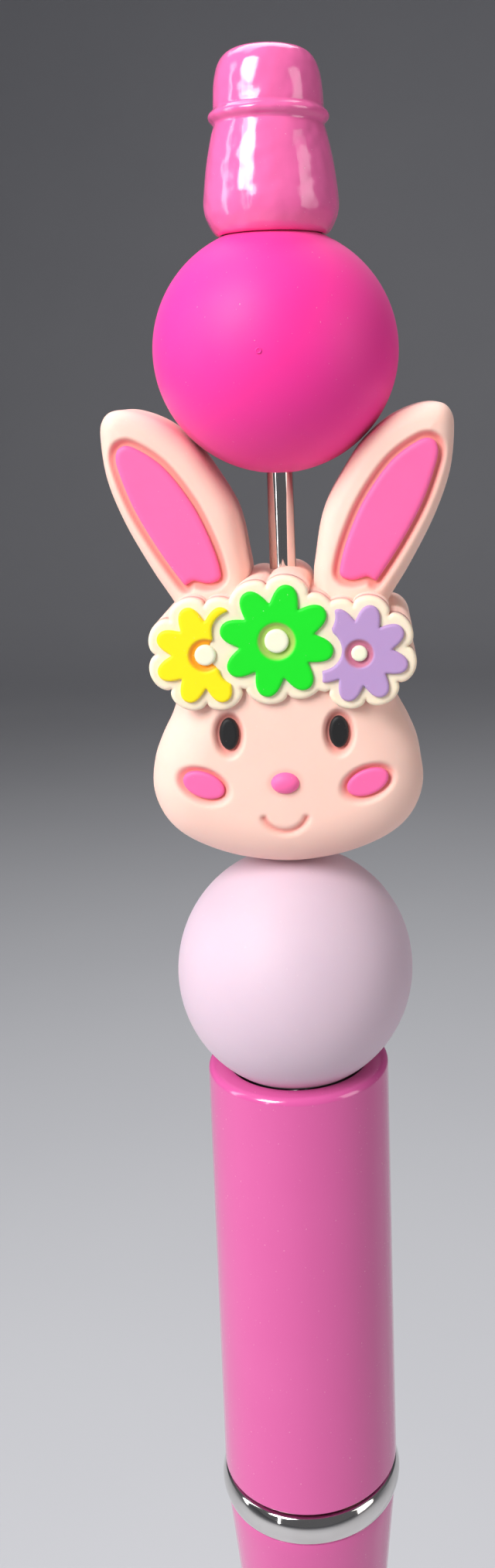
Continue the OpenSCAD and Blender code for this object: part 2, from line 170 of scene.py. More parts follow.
def turned(outline, steps):
    """Spins an outline about the pen's axis. A point is radius, height and, where its
    corner is rounded, the rounding. An outline that starts and ends on the axis stays open."""
    bm = bmesh.new()
    verts = [bm.verts.new((point[0], 0, point[1])) for point in outline]
    on_axis = outline[0][0] == 0
    pairs = list(zip(verts, verts[1:])) + ([] if on_axis else [(verts[-1], verts[0])])
    for pair in pairs:
        bm.edges.new(pair)
    for vert, point in zip(verts, outline):
        if len(point) > 2:
            bmesh.ops.bevel(bm, geom=[vert], offset=point[2], segments=5, profile=0.5,
                            affect="VERTICES", material=-1)
    bmesh.ops.spin(bm, geom=bm.verts[:] + bm.edges[:], cent=(0, 0, 0), axis=(0, 0, 1),
                   angle=2 * pi, steps=steps, use_merge=True)
    bmesh.ops.remove_doubles(bm, verts=bm.verts, dist=1e-4)
    bmesh.ops.recalc_face_normals(bm, faces=bm.faces)
    return bm


def even_faces(piece):
    """Keeps the wide faces flat in their shading beside the small rounded corners."""
    piece.modifiers.new("even faces", "WEIGHTED_NORMAL").weight = 60
    return piece


def extent(node):
    """A CAD node's lowest and highest corner, in millimetres."""
    low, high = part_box(node)
    return low / mm, high / mm


barrel_low, barrel_high = extent("lower_barrel")
nose_top = barrel_low.z
ring_foot = barrel_high.z
nose_r = 3
grip_r = 4.4
grip_foot = nose_top + 11.5
grip_head = grip_foot + 19
spigot_bore_r = 2.45
spigot_bore_top = nose_top + 4.5
refill_bore_r = 3
bush_bore_r = 3.95
bush_bore_foot = ring_foot - 10
taper = [(nose_r + (grip_r - nose_r) * sin(pi / 2 * i / 12), nose_top + (grip_foot - nose_top) * i / 12)
         for i in range(1, 13)]
flare = [(barrel_high.x - (barrel_high.x - grip_r) * cos(pi / 2 * i / 16),
          grip_head + (ring_foot - grip_head) * i / 16) for i in range(16)]
bore = [(bush_bore_r, ring_foot), (bush_bore_r, bush_bore_foot), (refill_bore_r, bush_bore_foot),
        (refill_bore_r, spigot_bore_top), (spigot_bore_r, spigot_bore_top)]
lower_outline = [(spigot_bore_r, nose_top), (nose_r, nose_top, 0.12)] + taper + flare
lower_outline += [(barrel_high.x, ring_foot, 0.15)] + bore
barrel_pink = moulded_gloss("barrel_pink", rgb(216, 94, 162), rgb(210, 84, 154), 0.012, 3.5)
even_faces(piece_of(turned(lower_outline, 144), "lower_barrel_shell", "lower_barrel", barrel_pink,
                    "pink_gloss", "lower_barrel"))

# ---- Nose cone -----------------------------------------------------------------------------------
# A cone turned from brass and chromed, pressed into the lower barrel by its spigot. The
# refill's tip comes out through the small hole in its end.


def plated(name, colour, roughness):
    """Bright plating: slight waviness, wipe marks along the pen and pinhead specks."""
    paint = Paint(name, Metallic=1.0)
    wipe = paint.noise(1.6, 3, 0.6, stretch=(1, 1, 0.25))
    speck = paint.noise(0.09, 1).step(0.74, 0.78)
    tone = paint.blend(wipe * 0.3, colour, rgb(190, 184, 178))
    rough = roughness + wipe * 0.05 + speck * 0.2
    return paint.feed(Base_Color=tone, Roughness=rough, Normal=paint.bump(paint.noise(3), 0.003))


chrome = plated("chrome", rgb(228, 226, 224), 0.04)
spigot_top = extent("nose_cone")[1].z
spigot_r = 2.38
cone_r = 2.95
cone_top = nose_top - 0.05
tip_hole_r = 1.02
tip_hole_top = 1.2
cone_bore_r = 1.33
cone_outline = [(tip_hole_r, 0), (1.45, 0, 0.2), (2.5, nose_top - 2.4, 0.5), (cone_r, nose_top - 1, 0.3),
                (cone_r, cone_top, 0.06), (spigot_r, cone_top), (spigot_r, spigot_top, 0.1),
                (cone_bore_r, spigot_top), (cone_bore_r, tip_hole_top), (tip_hole_r, tip_hole_top)]
even_faces(piece_of(turned(cone_outline, 96), "nose_cone_shell", "lower_barrel", chrome, "chrome",
                    "nose_cone"))

# ---- Centre ring, bush and guide tube ------------------------------------------------------------
# The ring is pressed from brass strip and chromed, and is trapped between the barrels. The
# brass bush carries it and both barrels, and the steel guide tube is pressed into the bush.
ring_low, ring_high = extent("centre_ring")
ring_bore_r = 4.46
ring_side_r = 5.5
ring_edge_r = 5.66
ring_gap = 0.04
bulge = [(ring_edge_r + (ring_high.x - ring_edge_r) * sin(pi * i / 16),
          ring_low.z + ring_gap + (ring_high.z - ring_low.z - 2 * ring_gap) * i / 16)
         for i in range(17)]
ring_outline = [(ring_bore_r, ring_low.z), (ring_side_r, ring_low.z, 0.08)] + bulge
ring_outline += [(ring_side_r, ring_high.z, 0.08), (ring_bore_r, ring_high.z)]
piece_of(turned(ring_outline, 192), "centre_ring_band", "lower_barrel", chrome, "chrome",
         "centre_ring")


def machined(name, colour, roughness, pitch=0.1):
    """Turned metal: rings left by the tool, and patches that have dulled in handling."""
    paint = Paint(name, Metallic=1.0)
    height = paint.node("SeparateXYZ", {"out": "Z"}, paint.here)
    rings = paint.node("Math", {"operation": "SINE"}, height * (2 * pi / (pitch * mm)))
    dull = paint.noise(2.5, 3)
    tone = paint.blend(dull * 0.4, colour, rgb(150, 138, 120))
    rough = roughness + dull * 0.15
    return paint.feed(Base_Color=tone, Roughness=rough, Normal=paint.bump(rings, 0.002))


def repaint(material, *nodes):
    """Gives CAD nodes that keep their own mesh a finished material."""
    for name in nodes:
        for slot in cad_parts[name].material_slots:
            slot.material = material


brass = machined("turned_brass", rgb(226, 190, 120), 0.2)
steel = machined("drawn_steel", rgb(200, 200, 204), 0.24, 0.25)
repaint(brass, "centre_bush", "cap_insert")
repaint(steel, "guide_tube", "rod_plug", "carriage_pin")

# ---- Refill --------------------------------------------------------------------------------------
# A standard ballpoint refill: a clear-white tube of ink with a turned brass tip pressed
# into it, and a hard ball held in the tip's rolled lip.


def clear_tube(name, colour, roughness):
    """Extruded polypropylene: faint draw lines along the tube and a cloudy skin."""
    paint = Paint(name, IOR=1.49)
    draw = paint.noise(0.25, 2, stretch=(1, 1, 0.02))
    tone = paint.blend(paint.noise(3) * 0.3, colour, rgb(214, 214, 206))
    rough = roughness + draw * 0.2
    return paint.feed(Base_Color=tone, Roughness=rough, Normal=paint.bump(draw, 0.004))


repaint(clear_tube("refill_plastic", rgb(238, 238, 232), 0.25), "refill_tube")
repaint(clear_tube("ink_black", rgb(24, 24, 34), 0.1), "refill_ink")

tip_low, tip_high = extent("refill_tip")
ball_low, ball_high = extent("writing_ball")
ball_z = (ball_low.z + ball_high.z) / 2
ball_r = ball_high.x
tip_top = tip_high.z - 3
collar_r = 1.17
collar_z = tip_top - 1.6
plug_r = 0.84
tip_outline = [(0, ball_z + 0.3), (0.49, tip_low.z + 0.02), (0.55, tip_low.z, 0.02),
               (0.64, ball_z + 0.5, 0.1), (0.92, tip_top - 3, 0.2), (1.07, collar_z, 0.05),
               (collar_r, collar_z, 0.05), (collar_r, tip_top), (plug_r, tip_top),
               (plug_r, tip_high.z), (0, tip_high.z)]
piece_of(turned(tip_outline, 64), "refill_tip_turned", "refill", brass, "brass", "refill_tip")
ball_arc = [(ball_r * sin(pi * i / 24), ball_z - ball_r * cos(pi * i / 24)) for i in range(25)]
ball_arc[0] = (0, ball_z - ball_r)
ball_arc[-1] = (0, ball_z + ball_r)
piece_of(turned(ball_arc, 48), "writing_ball_polished", "writing_ball", steel, "steel",
         "writing_ball")

# ---- Carriage and cam sleeve ---------------------------------------------------------------------
# The carriage grips the refill and slides in the guide tube. Its pin rides in the cam
# sleeve's helical slot, so the refill comes down as the upper barrel is turned.


def plain_moulding(name, colour):
    """Natural acetal: a matt, slightly mottled moulding with fine tool texture."""
    paint = Paint(name, IOR=1.48)
    mottle = paint.noise(1.5, 3)
    tone = paint.blend(mottle * 0.5, colour, rgb(222, 220, 210))
    rough = 0.4 + mottle * 0.15
    return paint.feed(Base_Color=tone, Roughness=rough, Normal=paint.bump(paint.noise(0.12), 0.003))


repaint(plain_moulding("white_acetal", rgb(240, 240, 236)), "carriage", "cam_sleeve")

# ---- Upper barrel --------------------------------------------------------------------------------
# The tube above the ring, moulded in the same glossy pink. Its upper end is an open cup with
# a rounded rim, and the first bead sits in it.
upper_low, upper_high = extent("upper_barrel")
cup_r = 4.44
upper_foot_r = 5.7
upper_outline = [(cup_r, upper_low.z), (upper_foot_r, upper_low.z, 0.15),
                 (upper_high.x, upper_high.z, 0.42), (cup_r, upper_high.z, 0.16)]
even_faces(piece_of(turned(upper_outline, 192), "upper_barrel_shell", "upper_barrel", barrel_pink,
                    "pink_gloss", "upper_barrel"))

# ---- Rod -----------------------------------------------------------------------------------------
# Straight steel wire, ground and chromed, fixed in the steel plug inside the upper barrel.
# The beads are threaded on it, and the end cap screws onto its threaded end.
rod_low, rod_high = extent("rod")
rod_r = rod_high.x
thread_len = 5.6
thread_root = rod_r - 0.15
thread_pitch = 0.35
thread_z = rod_high.z - thread_len
ridge_turns = 14
ridge_steps = ridge_turns * 28
ridge_z = thread_z + 0.25
ridge_foot_r = thread_root - 0.03
rod_outline = [(0, rod_low.z), (rod_r, rod_low.z, 0.1), (rod_r, thread_z, 0.08),
               (thread_root, thread_z + 0.15), (thread_root, rod_high.z - 0.3), (0.45, rod_high.z),
               (0, rod_high.z)]
rod_mesh = turned(rod_outline, 64)
profile = ((ridge_foot_r, -0.4), (rod_r, -0.08), (rod_r, 0.08), (ridge_foot_r, 0.4))
ridge = [rod_mesh.verts.new((radius, 0, ridge_z + rise * thread_pitch)) for radius, rise in profile]
ridge_edges = [rod_mesh.edges.new(pair) for pair in zip(ridge, ridge[1:] + ridge[:1])]
bmesh.ops.spin(rod_mesh, geom=ridge + ridge_edges, cent=(0, 0, 0), axis=(0, 0, 1),
               dvec=(0, 0, thread_pitch * ridge_turns / ridge_steps), angle=2 * pi * ridge_turns,
               steps=ridge_steps)
bmesh.ops.holes_fill(rod_mesh, edges=rod_mesh.edges, sides=4)
bmesh.ops.recalc_face_normals(rod_mesh, faces=rod_mesh.faces)
piece_of(rod_mesh, "rod_polished", "upper_barrel", chrome, "chrome", "rod")

# ---- Lilac bead ----------------------------------------------------------------------------------
# A solid ball of pale lilac silicone, drilled by the mould's core pin. The skin is matt and
# a little velvety, and the hole's edges are soft.


def silicone(name, colour, deep, shade_and_tint_colour=None, glow=0.08):
    """Matt moulded silicone: soft mottling, fine skin texture and specks of dust. Where a piece
    carries its per-point attribute, a second colour is laid on: painted shade in the face's
    dishes and groove and in the ears' recesses, and the flowers' own hollow colour."""
    paint = Paint(name, IOR=1.41, Sheen_Weight=0.12, Sheen_Roughness=0.5, Subsurface_Weight=glow,
                  Subsurface_Scale=0.001)
    cloud = paint.noise(4, 3, 0.55)
    grain = paint.noise(0.11, 2, 0.6)
    speck = paint.noise(0.16, 1).step(0.77, 0.8)
    tone = paint.blend(cloud, colour, deep)
    # The second colour: painted shade on the face and ears, the hollow colour on the flowers.
    if shade_and_tint_colour:
        shade_and_tint = paint.node("Attribute", {"attribute_name": "shade_and_tint", "out": "Fac"})
        tone = paint.blend(shade_and_tint, tone, shade_and_tint_colour)
    tone = paint.blend(speck * 0.25, tone, rgb(250, 240, 240))
    rough = 0.48 + cloud * 0.06 + grain * 0.08
    skin = paint.bump(grain, 0.002, paint.bump(cloud, 0.008))
    return paint.feed(Base_Color=tone, Roughness=rough, Normal=skin)


bead_r = 7.5
bore_r = rod_r + 0.08
bore_edge = 0.15


def ball_outline(node):
    """A drilled ball's half section, with the edges of its hole drawn in."""
    low, high = extent(node)
    centre = (low.z + high.z) / 2
    start = asin((bore_r + bore_edge) / bead_r)
    turns = [start + (pi - 2 * start) * i / 110 for i in range(111)]
    arc = [(bead_r * sin(turn), centre - bead_r * cos(turn)) for turn in turns]
    hole = bead_r * cos(start) - bore_edge
    return [(bore_r, centre - hole)] + arc + [(bore_r, centre + hole)]


lilac = silicone("lilac_silicone", rgb(216, 193, 208), rgb(209, 186, 203))
piece_of(turned(ball_outline("lilac_bead"), 176), "lilac_ball", "lilac_bead", lilac,
         "lilac_silicone", "lilac_bead")

# ---- Rabbit head ---------------------------------------------------------------------------------
# One block of peach silicone with rounded rims. The face is a little domed, with soft dishes
# for the eyes and the cheeks and a groove for the smile, with painted shade laid in them.
chin_z = extent("rabbit_head")[0].z


def on_curve(p0, p1, p2, p3, t):
    """A smooth line's place from p1, where t is 0, to p2, where t is 1."""
    place = 2 * p1 + (p2 - p0) * t + (2 * p0 - 5 * p1 + 4 * p2 - p3) * t ** 2
    place = place + (3 * p1 - p0 - 3 * p2 + p3) * t ** 3
    return place / 2


def spline(points, steps=8):
    """A smooth closed line through a few points."""
    ring = np.array(points, float)
    before, after, beyond = np.roll(ring, 1, 0), np.roll(ring, -1, 0), np.roll(ring, -2, 0)
    t = (np.arange(steps) / steps)[None, :, None]
    return on_curve(*(p[:, None] for p in (before, ring, after, beyond)), t).reshape(-1, 2)


def mirrored(half):
    """A closed outline from its right half, which runs from the foot to the top."""
    return half + [(-x, h) for x, h in half[::-1] if x]


def ellipse(x, h, across, up, tilt=0.0, count=96):
    """A closed oval outline round a place, with its two radii."""
    turns = np.arange(count) * 2 * pi / count
    u, v = across * np.cos(turns), up * np.sin(turns)
    return np.stack([x + u * cos(tilt) - v * sin(tilt), h + u * sin(tilt) + v * cos(tilt)], 1)


def within(points):
    """For places on the plane: how far inside a closed outline each is, and its nearest point."""
    start = np.asarray(points, float)
    run = np.roll(start, -1, 0) - start
    rise = np.where(run[:, 1] == 0, 1e-12, run[:, 1])

    def measure(places):
        depths, feet = [], []
        for some in np.array_split(places, len(places) // 3000 + 1):
            away = some[:, None] - start
            share = ((away * run).sum(2) / (run ** 2).sum(1)).clip(0, 1)
            foot = start + share[..., None] * run
            gap = ((some[:, None] - foot) ** 2).sum(2)
            best = gap.argmin(1)
            rows = np.arange(len(some))
            spans = (start[:, 1] > some[:, 1:]) != (start[:, 1] + run[:, 1] > some[:, 1:])
            right = some[:, :1] < start[:, 0] + away[..., 1] * run[:, 0] / rise
            odd = (spans & right).sum(1) % 2
            depths.append(np.sqrt(gap[rows, best]) * (2 * odd - 1))
            feet.append(foot[rows, best])
        return np.concatenate(depths), np.concatenate(feet)

    measure.points = start
    return measure


def chosen(measures, pick, signs):
    """Puts outlines together: the deepest one counts for a union, the shallowest for a cut."""

    def measure(places):
        found = [m(places) for m in measures]
        depths = np.array([sign * depth for sign, (depth, _) in zip(signs, found)])
        best = pick(depths, axis=0)
        rows = np.arange(len(places))
        return depths[best, rows], np.array([foot for _, foot in found])[best, rows]

    measure.points = np.concatenate([m.points for m in measures])
    return measure


def ease(low, high, value):
    """0 below low, 1 above high, and a smooth step between them."""
    share = np.clip((value - low) / (high - low), 0, 1)
    return share * share * (3 - 2 * share)


def plan(verts):
    """The verts' places across and up, before the block is stood upright."""
    return np.array([vert.co.xy for vert in verts])


def relief(outline, step, front, back, rim, back_rim, sculpt=None):
    """A moulded block with a vertical face towards -Y, made from a grid that is trimmed and
    drawn to the outline. front and back are places on Y, or functions that give them. rim is
    how far the front's rounded edge runs in from the outline, and how deep, and back_rim is
    how deep the back's is. sculpt gives what is taken off the front, and the share of a second
    colour: painted shade on the face and ears, the hollow's colour on the flowers."""
    left, foot = outline.points.min(0) - step
    right, top = outline.points.max(0) + step
    bm = bmesh.new()
    size = Matrix.Diagonal(((right - left) / 2, (top - foot) / 2, 1, 1))
    place = Matrix.Translation(((left + right) / 2, (foot + top) / 2, 0)) @ size
    bmesh.ops.create_grid(bm, x_segments=ceil((right - left) / step), size=1,
                          y_segments=ceil((top - foot) / step), matrix=place)
    depth, _ = outline(plan(bm.verts))
    loose = [vert for vert, d in zip(bm.verts, depth) if d < -0.4 * step]
    while loose:
        bmesh.ops.delete(bm, geom=loose, context="VERTS")
        loose = [vert for vert in bm.verts if not vert.link_faces
                 or sum(edge.is_boundary for edge in vert.link_edges) > 2]
    depth, _ = outline(plan(bm.verts))
    near = [vert for vert, d in zip(bm.verts, depth) if d < 3 * step]
    edge = [vert for vert in near if vert.is_boundary]
    for _ in range(7):
        _, feet = outline(plan(edge))
        for vert, place in zip(edge, feet):
            vert.co.xy = place
        bmesh.ops.smooth_vert(bm, verts=near, factor=0.5, use_axis_x=True, use_axis_y=True)
    _, feet = outline(plan(edge))
    for vert, place in zip(edge, feet):
        vert.co.xy = place
    places = plan(bm.verts)
    depth, feet = outline(places)
    depth = np.maximum(depth, 0)
    depth[[vert.is_boundary for vert in bm.verts]] = 0
    turn = pi / 2 * np.clip(depth / rim[0], 0, 1)
    rounding = 1 - np.sin(turn)
    drawn = np.where(depth < rim[0], rim[0] * (1 - np.cos(turn)) / np.maximum(depth, 1e-9), 1)
    places = feet + (places - feet) * drawn[:, None]
    # The share of the second colour: painted shade on the face and ears, hollow colour on the flowers.
    taken, shade_and_tint = sculpt(places[:, 0], places[:, 1]) if sculpt else (0, np.zeros(len(places)))
    fronts = front(places[:, 0], places[:, 1]) if callable(front) else front
    fronts = fronts + rim[1] * rounding + taken
    backs = back(places[:, 0], places[:, 1]) if callable(back) else back
    backs = backs - back_rim * rounding
    shade_and_tint_layer = bm.verts.layers.float.new("shade_and_tint")
    back_layer = bm.verts.layers.float.new("back")
    for vert, (x, h), y, rear, share in zip(bm.verts, places, fronts, backs, shade_and_tint):
        vert.co = (x, y, chin_z + h)
        vert[shade_and_tint_layer] = share
        vert[back_layer] = rear
    made = bmesh.ops.extrude_face_region(bm, geom=bm.faces[:], use_keep_orig=True)["geom"]
    for vert in made:
        if isinstance(vert, bmesh.types.BMVert):
            vert.co.y = vert[back_layer]
            vert[shade_and_tint_layer] = 0
    bm.verts.layers.float.remove(back_layer)
    bmesh.ops.recalc_face_normals(bm, faces=bm.faces)
    if bm.calc_volume(signed=True) < 0:
        bmesh.ops.reverse_faces(bm, faces=bm.faces)
    return bm


face_y = -4.6
face_doming = 0.006
head_rim = (3.2, 2.7)
eye_spot = (3.3, 8.7)
eye_dish = (0.95, 1.45)
cheek_spot = (4.95, 5.55)
cheek_dish = (1.75, 1.15)
cheek_tilt = radians(21)
nose_spot = (0, 5.7)
smile_spot = (-0.07, 4.0)
smile_r = 1.39
smile_ends = (radians(-157), radians(-23))
smile_width = 0.19


def face_front(x, h):
    """The domed face before anything is sunk into it."""
    return face_y + face_doming * (x ** 2 + (h - 8) ** 2)


def oval_share(x, h, spot, size, tilt=0.0):
    """0 at an oval's centre and 1 on its edge."""
    u, v = x - spot[0], h - spot[1]
    along, across = u * cos(tilt) + v * sin(tilt), v * cos(tilt) - u * sin(tilt)
    return np.hypot(along / size[0], across / size[1])


def face_sculpt(x, h):
    """The eye and cheek dishes and the smile's groove, with painted shade in them and round the nose."""
    taken = np.zeros(len(x))
    shade_and_tint = np.zeros(len(x))
    # Painted shade fills each dish, about as far as the dish is sunk.
    for side in (-1, 1):
        eye = oval_share(side * x, h, eye_spot, eye_dish)
        cheek = oval_share(side * x, h, cheek_spot, cheek_dish, cheek_tilt)
        for share, sink in ((eye, 0.45), (cheek, 0.42)):
            taken += sink * (1 - ease(0.72, 1.1, share))
            shade_and_tint = np.maximum(shade_and_tint, 1 - ease(0.72, 1.12, share))
    turn = np.arctan2(h - smile_spot[1], x - smile_spot[0])
    turn = np.clip(np.where(turn > pi / 2, turn - 2 * pi, turn), *smile_ends)
    gap = np.hypot(x - smile_spot[0] - smile_r * np.cos(turn), h - smile_spot[1] - smile_r * np.sin(turn))
    groove = np.exp(-(gap / smile_width) ** 2)
    # A lighter ring of painted shade round the foot of the nose, and the darkest in the smile's groove.
    nose = oval_share(x, h, nose_spot, (1.1, 0.9))
    shade_and_tint = np.maximum(shade_and_tint, 0.35 * (1 - ease(0.8, 1.15, nose)))
    return taken + 0.26 * groove, np.maximum(shade_and_tint, 0.9 * groove)


head_half = [(0, 0), (3, 0.35), (5.3, 1.1), (6.9, 2.05), (7.9, 3.3), (8.38, 4.9), (8.2, 6.7), (7.65, 8.2),
             (6.95, 9.6), (6.4, 11.2), (5.6, 13.4), (4, 15.6), (0, 16.9)]
head_outline = within(spline(mirrored(head_half)))
# The third colour, a darker salmon, is painted shade for the face's dishes and the ears' recesses.
peach = silicone("peach_silicone", rgb(250, 211, 197), rgb(248, 202, 188), rgb(240, 154, 144), 0.12)
head = relief(head_outline, 0.1, face_front, -face_y, head_rim, head_rim[1], face_sculpt)
piece_of(head, "rabbit_face", "rabbit", peach, "peach_silicone", "rabbit_head")

# ---- Eyes, cheeks and nose -----------------------------------------------------------------------
# Small mouldings of black and bright pink silicone, bonded into the dishes of the face.
# The eyes and cheeks sit just below the surface, and the nose is a low dome.
eye_black = silicone("black_silicone", rgb(20, 20, 22), rgb(25, 25, 27), None, 0.0)
inlay_pink = silicone("inlay_silicone", rgb(253, 110, 174), rgb(250, 100, 166))
eye_size = (0.59, 0.97)
cheek_size = (1.31, 0.78)
nose_size = (0.87, 0.68)
inlay_depth = 0.7


def button(name, spot, size, rise, rim, material, slot, tilt=0.0):
    """An oval inlay that follows the face, that far in front of it or, if negative, behind."""

    def front(x, h):
        return face_front(x, h) - rise

    def back(x, h):
        return front(x, h) + inlay_depth

    made = relief(within(ellipse(*spot, *size, tilt)), 0.055, front, back, rim, 0.05)
    piece_of(made, name + "_inlay", "rabbit", material, slot, name)


for side, which in ((-1, "left"), (1, "right")):
    button("eye_" + which, (side * eye_spot[0], eye_spot[1]), eye_size, -0.16, (0.22, 0.16), eye_black,
           "black_silicone")
    button("cheek_" + which, (side * cheek_spot[0], cheek_spot[1]), cheek_size, -0.1, (0.25, 0.16),
           inlay_pink, "inlay_silicone", side * cheek_tilt)
button("nose", nose_spot, nose_size, 0.42, (0.64, 0.55), inlay_pink, "inlay_silicone")

# ---- Ears ----------------------------------------------------------------------------------------
# Two leaf-shaped ears of the same peach silicone, with a deep recess that holds a bright
# pink inlay. The foot of the inlay is scalloped to clear the crown.
ear_y = -3.3
ear_rim = (0.95, 1.2)
lining_y = ear_y + 0.12
ear_points = [(2.4, 12.6), (4.4, 12.6), (5, 13.5), (6.55, 16.4), (7.8, 18.4), (9.35, 21.3), (10.35, 24),
              (10.66, 26.5), (10.5, 27.6), (9.85, 28.15), (8.6, 28.1), (6.9, 27.4), (5.27, 26.05),
              (4.1, 24.45), (2.72, 21.95), (2.13, 19.1), (1.97, 17.6), (1.95, 14)]
inlay_points = [(5.85, 17.7), (7.3, 19.85), (8.6, 22.2), (9.4, 24.3), (9.62, 25.4), (9.3, 26.0),
                (8.5, 25.95), (6.8, 24.75), (5.15, 22.5), (4.1, 20.2), (3.6, 18.4), (3.75, 17.85),
                (4.4, 17.68), (5.2, 17.86), (5.6, 17.68)]
for side, which in ((-1, "left"), (1, "right")):
    ear_outline = within(spline([(side * x, h) for x, h in ear_points]))
    inlay_outline = within(spline([(side * x, h) for x, h in inlay_points]))

    def ear_sculpt(x, h):
        """The lining's recess, and a front that falls away a little towards the rim. Painted shade
        lies over the recess and its wall.
        """
        places = np.stack([x, h], 1)
        inlay, _ = inlay_outline(places)
        edge, _ = ear_outline(places)
        recess = ease(-0.55, -0.15, inlay)
        # The second value is painted shade over the recess and its wall.
        return 0.38 * recess + 0.3 * (1 - ease(0, 2.3, edge)), ease(-0.6, -0.25, inlay)

    ear = relief(ear_outline, 0.1, ear_y, -ear_y, ear_rim, ear_rim[1], ear_sculpt)
    piece_of(ear, "ear_" + which, "rabbit", peach, "peach_silicone", "rabbit_head")
    lining = relief(inlay_outline, 0.09, lining_y, ear_y + 0.9, (0.3, 0.2), 0.05)
    piece_of(lining, "ear_lining_" + which, "rabbit", inlay_pink, "inlay_silicone", "ear_inlay_" + which)

# ---- Crown ---------------------------------------------------------------------------------------
# A scalloped block of peach silicone behind, faced with a thin plate of cream silicone that
# the flowers are set in. Both have the outline of the three flowers, grown by a margin.

# Each flower's place across and up, how far its petals reach, and its turn in degrees.
flowers = {"yellow": (-4.45, 13.7, 3.03, 22), "green": (-0.2, 14.45, 3.4, -13),
           "lavender": (4.65, 13.6, 2.95, 28.5)}
petals = 8
valley_share = 0.665
scallop = 0.52
crown_y = -5.0
plate_back = -4.1


def petal_line(flower, tip, valley, width, taper, per_petal=26):
    """A flower's outline: petals that taper to round tips, with valleys between them."""
    x, h, reach, turn = flower
    count = petals * per_petal
    lean = radians(turn) + np.arange(count) * 2 * pi / count
    share = np.abs((np.arange(count) / per_petal + 0.5) % 1 - 0.5) * 2
    radius = valley + (tip - valley) * np.maximum(1 - share ** width, 0) ** taper
    return np.stack([x + radius * np.cos(lean), h + radius * np.sin(lean)], 1)


scallops = [within(petal_line(f, f[2] + scallop, 0.97 * f[2], 2, 0.6)) for f in flowers.values()]
crown_outline = chosen(scallops, np.argmax, (1, 1, 1))
crown_block = relief(crown_outline, 0.12, plate_back, -plate_back, (0.08, 0.05), 0.6)
piece_of(crown_block, "crown_block", "rabbit", peach, "peach_silicone", "rabbit_head")


def layered_cream(name):
    """Cream silicone, cloudy at the front and stained by the peach behind it at its edges."""
    paint = Paint(name, IOR=1.41, Sheen_Weight=0.12, Sheen_Roughness=0.5, Subsurface_Weight=0.2,
                  Subsurface_Scale=0.001)
    cloud = paint.noise(3, 3, 0.55)
    grain = paint.noise(0.11, 2, 0.6)
    depth = paint.node("SeparateXYZ", {"out": "Y"}, paint.here).step(-4.95 * mm, -4.3 * mm)
    tone = paint.blend(cloud, rgb(250, 234, 208), rgb(248, 226, 202))
    tone = paint.blend(depth * 0.85, tone, rgb(246, 196, 182))
    rough = 0.46 + grain * 0.1
    return paint.feed(Base_Color=tone, Roughness=rough, Normal=paint.bump(grain, 0.002))


plate = relief(crown_outline, 0.09, crown_y, plate_back, (0.24, 0.22), 0.0)
piece_of(plate, "crown_plate_cream", "rabbit", layered_cream("cream_silicone"), "cream_silicone",
         "crown_plate")

# ---- Flowers -------------------------------------------------------------------------------------
# Three flowers of yellow, green and lavender silicone, poured into the plate and standing a
# little proud. Each has a round hollow with a white dot in it, and green lies over the others.
flower_y = crown_y - 0.25
hollow_depth = 0.21
gap_to_green = 0.5
green_line = petal_line(flowers["green"], flowers["green"][2] + gap_to_green,
                        valley_share * flowers["green"][2] + 1.9 * gap_to_green, 2, 1)
# Each flower's two mottled colours, its hollow's colour, and the radii of hollow and dot.
finishes = {
    "yellow": (rgb(255, 232, 0), rgb(255, 226, 0), rgb(252, 160, 20), 1.0, 0.63),
    "green": (rgb(0, 226, 34), rgb(0, 218, 26), rgb(160, 196, 90), 1.12, 0.72),
    "lavender": (rgb(184, 152, 202), rgb(178, 144, 196), rgb(192, 112, 140), 0.86, 0.48),
}
white_dot = silicone("white_silicone", rgb(240, 240, 216), rgb(236, 234, 208))
dots = bmesh.new()
for colour, flower in flowers.items():
    light, deep, hollow, hub_r, dot_r = finishes[colour]
    x0, h0, reach, _ = flower
    petal_outline = within(petal_line(flower, reach, valley_share * reach, 2.3, 1.5))
    if colour == "yellow":
        beside_dot = within(ellipse(-2.3, 13.95, 1.85, 1.75))
        petal_outline = chosen([petal_outline, beside_dot], np.argmin, (1, -1))
    if colour != "green":
        petal_outline = chosen([petal_outline, within(green_line)], np.argmin, (1, -1))

    def hub_sculpt(x, h):
        """The round hollow, and its colour."""
        away = np.hypot(x - x0, h - h0)
        sunk = 1 - ease(hub_r - 0.22, hub_r + 0.06, away)
        return hollow_depth * sunk, 1 - ease(hub_r - 0.1, hub_r + 0.06, away)

    made = relief(petal_outline, 0.065, flower_y, crown_y + 0.4, (0.13, 0.11), 0.0, hub_sculpt)
    paint = silicone(colour + "_silicone", light, deep, hollow)
    piece_of(made, "flower_" + colour + "_petals", "rabbit", paint, colour + "_silicone",
             "flower_" + colour)
    dot = relief(within(ellipse(x0, h0, dot_r, dot_r)), 0.05, flower_y, crown_y + 0.3, (0.2, 0.14), 0.0)
    mesh = bpy.data.meshes.new("dot")
    dot.to_mesh(mesh)
    dot.free()
    dots.from_mesh(mesh)
    bpy.data.meshes.remove(mesh)
piece_of(dots, "flower_dots", "rabbit", white_dot, "white_silicone", "flower_centres")

